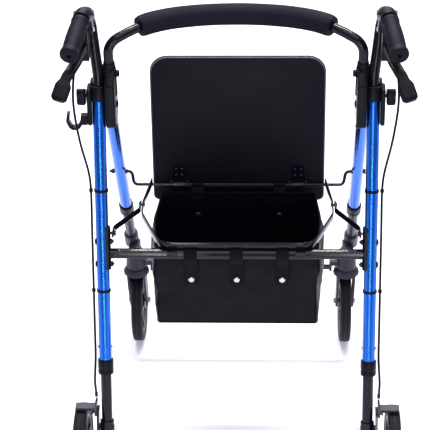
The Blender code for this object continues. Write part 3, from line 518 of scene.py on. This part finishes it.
for side, s in SIDES:
    rivet = dome((s * 0.2000, *LINK_PIN), (s, 0, 0), 0.0055, 0.0022)
    piece("link_pivot_rivet_" + side, rivet, GLOSS, "links")
    rivet = dome((s * 0.1908, *LINK_PIN), (-s, 0, 0), 0.0050, 0.0020)
    piece("band_pivot_rivet_" + side, rivet, GLOSS, "seat_band")
    pin = rear(REAR_X * s, 0.245)
    piece("link_stud_nut_" + side, hexnut((s * 0.2400, pin.y, pin.z), (-s, 0, 0), 0.0058, 0.0040), GLOSS,
          "rear_frame")
    bolts = []
    for h in (0.262, 0.308):
        p = rear(REAR_X * s, h)
        bolts.append(hexnut((p.x - s * 0.0158, p.y, p.z), (-s, 0, 0), 0.0060, 0.0042))
        bolts.append(dome((p.x - s * 0.0198, p.y, p.z), (-s, 0, 0), 0.0030, 0.0028))
        bolts.append(dome((p.x + s * 0.0120, p.y, p.z), (s, 0, 0), 0.0066, 0.0035))
    piece("saddle_bolts_" + side, join(*bolts), GLOSS, "rear_frame", (), 30)

# ---- seat board ----
LEAN = math.radians(6.0)
SEAT_W, SEAT_D, SEAT_BELOW = 0.356, 0.3225, 0.040


def lid(x, up, out):
    return Vector((x, ROD[0] + up * math.sin(LEAN) - out * math.cos(LEAN),
                   ROD[1] + up * math.cos(LEAN) + out * math.sin(LEAN)))


def seat_outline(inset):
    """The board's edge: large corners at the free end, small ones below the rod."""
    w, a, b = SEAT_W / 2 - inset, inset - SEAT_BELOW, SEAT_D - SEAT_BELOW - inset
    m = (a + b) / 2
    top = bend([(-w, m, 0), (-w, b, 0), (w, b, 0), (w, m, 0)], max(0.006, 0.035 - inset * 0.4), 12)[1:-1]
    bottom = bend([(w, m, 0), (w, a, 0), (-w, a, 0), (-w, m, 0)], max(0.004, 0.012 - inset * 0.2), 8)[1:-1]
    return [(p.x, p.y) for p in top + bottom]


def seat_loops(levels):
    return [[lid(a, b, out) for a, b in seat_outline(inset)] for out, inset in levels]


crown = [(-0.0102, 0.0006), (-0.0135, 0.0), (-0.0175, 0.0012), (-0.0205, 0.006), (-0.0222, 0.012),
         (-0.0230, 0.025), (-0.0236, 0.04), (-0.0240, 0.08), (-0.0241, 0.12)]
cushion = piece("seat_cushion", skin(seat_loops(crown)), VINYL, "seat_lid", ["seat_board"], 60)
piece("seat_base_panel", skin(seat_loops([(-0.0060, 0.0042), (-0.0062, 0.0036), (-0.0101, 0.0036)])), VINYL,
      "seat_lid")
trim_turn = [2 * math.pi * i / 8 for i in range(8)]
trim = [[lid(a, b, -0.0080 + 0.0015 * math.cos(t)) for a, b in seat_outline(0.0020 - 0.0015 * math.sin(t))]
        for t in trim_turn]
# the piping is a ridge round the seat's edge; its light grey is painted sheen along that edge
piece("seat_edge_piping", skin(trim, closed=True), EDGE_SHEEN, "seat_lid")
screws = []
SCREW_SPOTS = ((-0.006, 0.034), (0.006, 0.034), (-0.006, 0.020), (0.006, 0.020),
               (-0.017, 0.004), (0.017, 0.004))
for side, s in SIDES:
    for dx, up in SCREW_SPOTS:
        screws.append(dome(lid(0.123 * s + dx, up, -0.0044), Vector((0, -math.cos(LEAN), math.sin(LEAN))),
                           0.0024, 0.0014, 16))
piece("seat_hinge_screws", join(*screws), ZINC, "seat_lid")

# ---- wheels ----
HALF = 0.0125
SPOKES = 7
SPOKE_OUTLINE = ((-1, -0.8), (-0.8, -1), (0.8, -1), (1, -0.8), (1, 0.8), (0.8, 1), (-0.8, 1), (-1, 0.8))


def tyre_shape(o):
    r = WHEEL_R
    prof = [(0.0738, -0.0112), (0.0770, -0.0120), (0.0820, -HALF), (0.0880, -HALF), (0.0915, -0.0118),
            (0.0936, -0.0100), (0.0946, -0.0078)]
    for c in (-0.0045, 0.0045):
        prof += [(0.0949, c - 0.0014), (0.0936, c - 0.0008), (0.0936, c + 0.0008), (0.0949, c + 0.0014)]
        if c < 0:
            prof.append((r, 0.0))
    prof += [(0.0946, 0.0078), (0.0936, 0.0100), (0.0915, 0.0118), (0.0880, HALF), (0.0820, HALF),
             (0.0770, 0.0120), (0.0738, 0.0112)]
    return turned(prof, o, (1, 0, 0), 96)


def wheel_shape(o):
    prof = [(0.0045, -HALF), (0.0150, -HALF), (0.0160, -0.0118), (0.0166, -0.0030), (0.0200, -0.0022),
            (0.0620, -0.0022), (0.0650, -0.0040), (0.0665, -0.0098), (0.0690, -0.0110), (0.0733, -0.0110),
            (0.0733, 0.0110), (0.0690, 0.0110), (0.0665, 0.0098), (0.0650, 0.0040), (0.0620, 0.0022),
            (0.0200, 0.0022), (0.0166, 0.0030), (0.0160, 0.0118), (0.0150, HALF), (0.0045, HALF)]
    parts = [turned(prof, o, (1, 0, 0), 72)]
    for k in range(SPOKES):
        a = 2 * math.pi * k / SPOKES
        d, e = Vector((0, math.cos(a), math.sin(a))), Vector((0, -math.sin(a), math.cos(a)))
        loops = []
        for rr, w, t in ((0.0155, 0.0075, 0.0100), (0.040, 0.0052, 0.0078), (0.0670, 0.0070, 0.0100)):
            loops.append([o + d * rr + e * (w * u) + Vector((t * v, 0, 0)) for u, v in SPOKE_OUTLINE])
        parts.append(skin(loops))
    return join(*parts)


for side, s in SIDES:
    for place, x, y in (("front", *FRONT_WHEEL), ("rear", *REAR_WHEEL)):
        o = Vector((x * s, y, WHEEL_R))
        body = "%s_roller_%s" % (place, side)
        piece("%s_tread_%s" % (place, side), tyre_shape(o), TYRE, body, ["%s_tyre_%s" % (place, side)], 45)
        piece("%s_spoked_wheel_%s" % (place, side), wheel_shape(o), DARK, body,
              ["%s_wheel_%s" % (place, side)], 35)
    axle_x, axle_y = FRONT_WHEEL[0] * s, FRONT_WHEEL[1]
    nuts = join(hexnut((axle_x + 0.0206, axle_y, WHEEL_R), (1, 0, 0), 0.0068, 0.0052),
                hexnut((axle_x - 0.0206, axle_y, WHEEL_R), (-1, 0, 0), 0.0068, 0.0052))
    piece("front_axle_nuts_" + side, nuts, STEEL, "caster_" + side)
    nuts = join(hexnut((0.3300 * s, REAR_WHEEL[1], WHEEL_R), (s, 0, 0), 0.0068, 0.0050),
                hexnut((0.2790 * s, REAR_WHEEL[1], WHEEL_R), (-s, 0, 0), 0.0068, 0.0048))
    piece("rear_axle_nut_" + side, nuts, STEEL, "rear_lower_" + side)
    piece("brake_pivot_screw_" + side, dome((0.2923 * s, -0.186, 0.183), (s, 0, 0), 0.0055, 0.0026), ZINC,
          "rear_lower_" + side)
    p = rear(REAR_X * s, 0.656)
    piece("bracket_bolt_" + side, join(hexnut((p.x - s * 0.0136, p.y, p.z), (-s, 0, 0), 0.0062, 0.0045),
                                       dome((p.x - s * 0.0180, p.y, p.z), (-s, 0, 0), 0.003, 0.003)), STEEL,
          "rear_lower_" + side, (), 30)

# ---- top bracket: a moulded shell in rounded lumps, hollow for the front leg ----
def soft_block(x0, x1, outline, r):
    """An outline in the side plane, thick from x0 to x1, with rounded corners and edges."""
    pts = [Vector((a, b, 0)) for a, b in outline]
    n = len(pts)
    soft = []
    for i in range(n):
        soft += bend([pts[i - 1], pts[i], pts[(i + 1) % n]], r, 8)[1:-1]
    mid = sum(soft, Vector()) / len(soft)
    s = 1 if x1 > x0 else -1
    edge = 0.0035
    loops = []
    for a in (90, 60, 30, 0):
        inset = edge * (1 - math.cos(math.radians(a)))
        loops.append((x0 + s * edge * (1 - math.sin(math.radians(a))), inset))
    loops += [(x1 + x0 - x, inset) for x, inset in loops[::-1]]
    rings_out = []
    for x, inset in loops:
        ring = []
        for q in soft:
            d = (q - mid).length
            ring.append(Vector((x, *(mid + (q - mid) * ((d - inset) / d)).xy)))
        rings_out.append(ring)
    return skin(rings_out)


for side, s in SIDES:
    x = REAR_X * s
    leg_clamp = turned([(TUBE_R + 0.0004, -0.050), (0.0165, -0.050), (0.0182, -0.0485), (0.0186, -0.046),
                        (0.0186, -0.024), (0.0180, -0.0208), (0.0160, -0.0200), (TUBE_R + 0.0004, -0.0200)],
                       rear(x, 0), REAR_DOWN, 56)
    socket = turned([(BACK_R + 0.0004, 0.800), (0.0150, 0.800), (0.0146, 0.856), (0.0136, 0.862),
                     (0.0118, 0.864), (BACK_R + 0.0004, 0.864)],
                    (SOCKET[0] * s, SOCKET[1], 0), (0, 0, 1), 48)
    inner_outline = [(-0.0205, 0.752), (-0.010, 0.838), (0.014, 0.858), (0.044, 0.858),
                     (0.048, 0.800), (0.060, 0.772), (0.048, 0.746), (0.012, 0.740)]
    outer_outline = [(-0.0185, 0.756), (-0.008, 0.828), (0.020, 0.832), (0.040, 0.812),
                     (0.034, 0.760), (0.020, 0.746)]
    back_outline = [(0.0150, 0.810), (0.0130, 0.832), (0.040, 0.834), (0.046, 0.812)]
    inner = soft_block(0.2310 * s, 0.2495 * s, inner_outline, 0.014)
    outer = soft_block(0.2762 * s, 0.2848 * s, outer_outline, 0.010)
    back = soft_block(0.2485 * s, 0.2800 * s, back_outline, 0.005)
    shell = piece("bracket_shell_" + side, join(inner, outer), PLASTIC, "rear_frame",
                  ["top_bracket_" + side], 50)
    cut(shell, join(peg(rear(x, -0.12), rear(x, 0.12), TUBE_R + 0.0004, 48)))
    cut(shell, box(0.2326 * s, 0.2594 * s, 0.0115, 0.085, 0.72, 0.8025))
    cut(shell, peg((SOCKET[0] * s, SOCKET[1], 0.822), (SOCKET[0] * s, SOCKET[1], 0.90), BACK_R + 0.0006, 40))
    piece("bracket_clamp_" + side, join(leg_clamp, socket), PLASTIC, "rear_frame", (), 50)
    spine = piece("bracket_bridge_" + side, back, PLASTIC, "rear_frame", (), 50)
    cut(spine, join(peg(rear(x, -0.12), rear(x, 0.12), TUBE_R + 0.0004, 48)))
    # the collar is open towards the handle tube, which passes close beside it
    collar = [(BACK_R + 0.0003, 0.8642), (0.0118, 0.8642), (0.0118, 0.870), (0.0108, 0.8715),
              (BACK_R + 0.0003, 0.8715)]
    ring = piece("backrest_collar_" + side, turned(collar, (0.2425 * s, 0.031, 0), (0, 0, 1), 40), PLASTIC,
                 "rear_frame")
    cut(ring, peg(rear(x, -0.18), rear(x, 0.0), 0.0114, 40))
    body = "rear_frame"
    bits = [dome((0.2306 * s, 0.027, PIVOT_Z), (-s, 0, 0), 0.0075, 0.003),
            dome((0.2306 * s, -0.006, 0.752), (-s, 0, 0), 0.0035, 0.0015)]
    piece("bracket_bolts_" + side, join(*bits), GLOSS, body)
    piece("backrest_release_knob_" + side,
          turned([(0, 0), (0.0062, 0), (0.0068, 0.001), (0.0068, 0.006), (0.0058, 0.0075), (0, 0.008)],
                 (0.2308 * s, 0.031, 0.846), (-s, 0, 0), 24), PLASTIC, body)

# ---- cables ----
for side, s in SIDES:
    up = [(0.2905 * s, 0.034, 0.9235), (0.2975 * s, 0.020, 0.895), (0.3060 * s, -0.006, 0.862),
          (0.3078 * s, -0.028, 0.810), (0.2990 * s, -0.042, 0.740), (0.2870 * s, *rear(0, 0.12)[1:]),
          (CABLE_X * s, *rear(0, 0.16)[1:]), (CABLE_X * s, *rear(0, 0.24)[1:])]
    low = [(CABLE_X * s, *rear(0, h)[1:]) for h in (0.24, 0.34, 0.44, 0.50)]
    low += [(0.2848 * s, -0.163, 0.275), (0.2870 * s, -0.1645, 0.245), (0.2870 * s, -0.161, 0.222),
            (0.2870 * s, -0.1570, 0.1990)]
    a = piece("brake_cable_upper_" + side, skin(rings(smooth(up), circle(CABLE_R, 16))), JACKET, None,
              ["brake_cable_" + side], 60)
    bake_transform(a)
    b = piece("brake_cable_lower_" + side, skin(rings(smooth(low), circle(CABLE_R, 16))), JACKET, None,
              ["brake_cable_" + side], 60)
    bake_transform(b)
    for n, h in (("upper", 0.155), ("lower", 0.36)):
        p = rear(REAR_X * s, h)
        clip = turned([(TUBE_R + 0.0002, 0), (TUBE_R + 0.0014, 0.0004), (TUBE_R + 0.0014, 0.0056),
                       (TUBE_R + 0.0002, 0.006)], p, REAR_DOWN, 40)
        q = Vector((CABLE_X * s, p.y, p.z))
        loop = turned([(0.0025, 0), (0.0040, 0), (0.0040, 0.006), (0.0025, 0.006)], q, REAR_DOWN, 24)
        piece("cable_clip_%s_%s" % (n, side), join(clip, loop), PLASTIC, "rear_frame")
    piece("cable_ferrule_" + side, turned([(0, 0), (0.0034, 0), (0.0034, 0.009), (0.0026, 0.010), (0, 0.010)],
                                          (0.2870 * s, -0.1590, 0.2100), Vector((0, 0.18, -0.98)), 20), ZINC,
          "rear_lower_" + side)

# ---- bag ----
BAG_STEPS = 220


def even(points, count):
    """The closed outline with its points spaced evenly, starting at the first."""
    pts = points + [points[0]]
    run = [0.0]
    for a, b in zip(pts, pts[1:]):
        run.append(run[-1] + (b - a).length)
    out, k = [], 0
    for i in range(count):
        d = run[-1] * i / count
        while run[k + 1] < d:
            k += 1
        out.append(pts[k].lerp(pts[k + 1], (d - run[k]) / max(1e-9, run[k + 1] - run[k])))
    return out


def bag_outline(near, middle, far, y0, y1, z):
    """One level of the bag: flat at the near and far side, bowed out at the sides."""
    mid = (y0 + y1) / 2
    corners = [Vector(c) for c in ((0, y0, z), (near, y0, z), (middle, mid, z), (far, y1, z), (0, y1, z),
                                   (-far, y1, z), (-middle, mid, z), (-near, y0, z))]
    pts = []
    for i, c in enumerate(corners):
        if abs(c.x) < 1e-6:
            pts.append(c)
        else:
            pts += bend([corners[i - 1], c, corners[(i + 1) % 8]], 0.060 if i in (2, 6) else 0.008, 8)[1:-1]
    return even(pts, BAG_STEPS)


BAG_ROWS = [(0.5115, 0.162, 0.1690, 0.159, -0.0720, 0.1275), (0.495, 0.163, 0.174, 0.160, -0.0735, 0.1275),
            (0.470, 0.163, 0.1765, 0.161, -0.0765, 0.1265), (0.410, 0.163, 0.1725, 0.160, -0.0780, 0.1235),
            (0.345, 0.163, 0.1670, 0.159, -0.0780, 0.1195), (0.3275, 0.1625, 0.1650, 0.158, -0.0770, 0.1175)]


def bag_row(z):
    """The bag's half widths and depths at a height, between the listed ones."""
    for a, b in zip(BAG_ROWS, BAG_ROWS[1:]):
        if z >= b[0]:
            f = (a[0] - z) / (a[0] - b[0])
            return [p + (q - p) * f for p, q in zip(a, b)]
    return list(BAG_ROWS[-1])


def bag_wall(inset, rows=48):
    """The bag's side wall from top to bottom, with folds that are deepest at the sides."""
    top, low = BAG_ROWS[0][0], BAG_ROWS[-1][0]
    loops = []
    for k in range(rows):
        t = k / (rows - 1)
        z = top + (low - top) * t
        near, middle, far, y0, y1 = bag_row(z)[1:]
        ring = bag_outline(near, middle, far, y0, y1, z)
        out = []
        for i, q in enumerate(ring):
            tangent = (ring[(i + 1) % BAG_STEPS] - ring[i - 1]).normalized()
            n = Vector((tangent.y, -tangent.x, 0))
            side = min(1.0, abs(n.x) * 1.4 + 0.7 * max(0.0, (abs(q.x) - 0.105) / 0.058) ** 1.5)
            body = math.sin(math.pi * min(1.0, t * 1.02)) ** 0.6
            fold = 0.0042 * math.sin(q.y * 95 + 9 * t + 2.2 * noise.noise(Vector((q.y * 12, t * 3, q.x * 4))))
            soft = 0.0034 * noise.noise(Vector((q.x * 17, q.y * 17, z * 21)))
            fine = 0.0016 * noise.noise(Vector((q.x * 48 + 7, q.y * 48, z * 52)))
            creep = (side * fold + soft * (0.35 + 0.65 * side) + fine) * body - 0.0012 * (1 - side) * body
            out.append(q + n * (creep - inset))
        loops.append(out)
    return loops


outer, inside = bag_wall(0.0), bag_wall(0.0022)
BAG_MID = 0.022


def shrink(loop, f, dz):
    """The loop drawn in towards the middle of the bag's floor, slightly uneven."""
    return [Vector((q.x * f, BAG_MID + (q.y - BAG_MID) * f, q.z + dz
                    + 0.0015 * noise.noise(Vector((q.x * 24 * f, q.y * 24 * f, 3.0))))) for q in loop]


under = [shrink(outer[-1], f, -0.0012) for f in (0.985, 0.88, 0.7, 0.45, 0.2, 0.02)]
within = [shrink(inside[-1], f, 0.0022) for f in (0.97, 0.7, 0.4, 0.02)]


def bag_piece(name, shape, material, replaces=(), sharp=60):
    ob = piece(name, shape, material, "rear_frame", replaces, sharp)
    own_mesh(ob)
    return ob


bag_piece("carry_bag_cloth", skin(under[::-1] + outer[::-1] + inside + within), CLOTH, ["carry_bag"], 70)
hem_profile = ((0.0008, 0.0007), (0.0016, -0.0010), (0.0008, -0.0029), (-0.014, -0.0029), (-0.0145, -0.0005),
               (-0.014, 0.0010))


def ribbon(loop, profile):
    """A profile of (height, inset) carried round a loop."""
    out = []
    for dz, dn in profile:
        ring = []
        for i, q in enumerate(loop):
            t = (loop[(i + 1) % len(loop)] - loop[i - 1]).normalized()
            ring.append(q + Vector((t.y * dn, -t.x * dn, dz)))
        out.append(ring)
    return out


bag_piece("bag_hem", skin(ribbon(outer[0], hem_profile), closed=True), WEB)
welt = [(0.0014 * math.sin(a), 0.0014 * math.cos(a)) for a in trim_turn]
raised = [q + Vector((0, 0, 0.0015)) for q in outer[-1]]
bag_piece("bag_bottom_welt", skin(ribbon(raised, welt), closed=True), WEB)
level = outer[20]
for side, s in SIDES:
    column = min(range(BAG_STEPS), key=lambda i: (level[i] - Vector((s * 0.163, -0.078, level[i].z))).length)
    edge = [ring[column] for ring in outer[1:]]
    bag_piece("bag_corner_welt_" + side, skin(rings(edge, circle(0.0014, 8))), WEB)


def strap(x, route, width=0.026, thick=0.0014):
    """A webbing strap bent along a route in the side plane."""
    pts = smooth([(x, y, z) for y, z in route], 5)
    return skin(rings(pts, rounded_rect(width, thick, thick * 0.45, 2), (1, 0, 0)))


cy, cz = CROSS
loops_over = []
snaps = []
r = 0.0118
turns = [math.radians(a) for a in range(-10, 200, 30)]
arc = [(cy + r * math.cos(a), cz + r * math.sin(a)) for a in turns]
for x in (-0.0905, 0.0, 0.0905):
    route = [(-0.0685, 0.490), (cy + 0.0135, cz - 0.006)] + arc
    route += [(cy - 0.0108, cz - 0.012), (-0.0850, 0.480), (-0.0812, 0.460), (-0.0806, 0.445),
              (-0.0806, 0.428)]
    loops_over.append(strap(x, route))
    snaps.append(dome((x, -0.0814, 0.4400), (0, -1, 0.05), 0.0066, 0.0030, 24))
piece("bag_loops", join(*loops_over), WEB, "rear_frame", (), 50)
piece("bag_loop_snaps", join(*snaps), STEEL, "rear_frame")
ry, rz = ROD
rr = 0.0047
turns = [math.radians(a) for a in range(220, -30, -30)]
arc = [(ry + rr * math.cos(a), rz + rr * math.sin(a)) for a in turns]
hangers, hooks = [], []
for x in (-0.085, 0.085):
    route = [(0.1235, 0.440), (0.1235, 0.470), (0.1240, 0.498), (ry - 0.0085, 0.5145)] + arc
    route += [(ry - 0.0010, rz - 0.0075), (ry - 0.0085, 0.507), (0.1262, 0.490), (0.1250, 0.470)]
    hangers.append(strap(x, route, 0.025))
    hooks.append(dome((x, 0.1226, 0.4570), (0, -1, 0.15), 0.0072, 0.0028, 24))
bag_piece("bag_hangers", join(*hangers), WEB, sharp=50)
bag_piece("bag_hanger_snaps", join(*hooks), ZINC)

# ---- floor, lights, camera ----
mesh = bpy.data.meshes.new("floor")
mesh.from_pydata([(-9, -9, 0), (9, -9, 0), (9, 14, 0), (-9, 14, 0)], [], [(0, 1, 2, 3)])
floor = bpy.data.objects.new("studio_floor", mesh)
bpy.context.scene.collection.objects.link(floor)
white = bpy.data.materials.new("studio_white")
white.use_nodes = True
shader = white.node_tree.nodes["Principled BSDF"].inputs
shader["Base Color"].default_value = (0.84, 0.84, 0.89, 1)
shader["Roughness"].default_value = 0.9
# a faint glow keeps the shadows pale
shader["Emission Color"].default_value = (0.90, 0.90, 0.95, 1)
shader["Emission Strength"].default_value = 0.30
mesh.materials.append(white)

world = bpy.data.worlds.new("studio")
world.use_nodes = True
world.node_tree.nodes["Background"].inputs["Color"].default_value = (0.78, 0.80, 1.0, 1)
world.node_tree.nodes["Background"].inputs["Strength"].default_value = 0.42
scene = bpy.context.scene
scene.world = world
scene.view_settings.view_transform = "Standard"


def softbox(name, place, aim, size, power, tall=None):
    data = bpy.data.lights.new(name, "AREA")
    data.energy = power
    data.size = size
    if tall:
        data.shape = "RECTANGLE"
        data.size_y = tall
    ob = bpy.data.objects.new(name, data)
    ob.location = place
    ob.rotation_euler = (Vector(aim) - Vector(place)).to_track_quat("-Z", "Y").to_euler()
    scene.collection.objects.link(ob)


softbox("key_box", (0.4, -0.4, 3.8), (0, 0.2, 0.4), 3.8, 92)
softbox("left_strip", (-0.45, -3.8, 0.9), (0, 0, 0.6), 0.09, 14, 1.6)
softbox("right_strip", (0.45, -3.8, 0.9), (0, 0, 0.6), 0.09, 14, 1.6)
softbox("top_strip", (0.0, 1.2, 3.2), (0, 0, 0.5), 2.6, 120, 0.12)
softbox("back_box", (0.0, 3.6, 2.8), (0, 0.6, 0.2), 2.6, 55)

LENS_MM, SENSOR_MM = 137.4698, 36
CAMERA_AT = (0.073, -2.723 - CENTRE_Y, 2.373)
YAW, PITCH, ROLL = -0.043, 0.592, -0.021
forward = Vector((math.sin(YAW) * math.cos(PITCH), math.cos(YAW) * math.cos(PITCH), -math.sin(PITCH)))
across = Vector((math.cos(YAW), -math.sin(YAW), 0))
down = forward.cross(across).normalized()
if down.z > 0:
    down = -down
right_axis = across * math.cos(ROLL) - down * math.sin(ROLL)
down_axis = across * math.sin(ROLL) + down * math.cos(ROLL)
camera = bpy.data.objects.new("camera", bpy.data.cameras.new("camera"))
camera.data.sensor_width = SENSOR_MM
camera.data.lens = LENS_MM
camera.matrix_world = Matrix.Translation(CAMERA_AT) @ Matrix(
    (right_axis, -down_axis, -forward)).transposed().to_4x4()
scene.collection.objects.link(camera)
scene.camera = camera
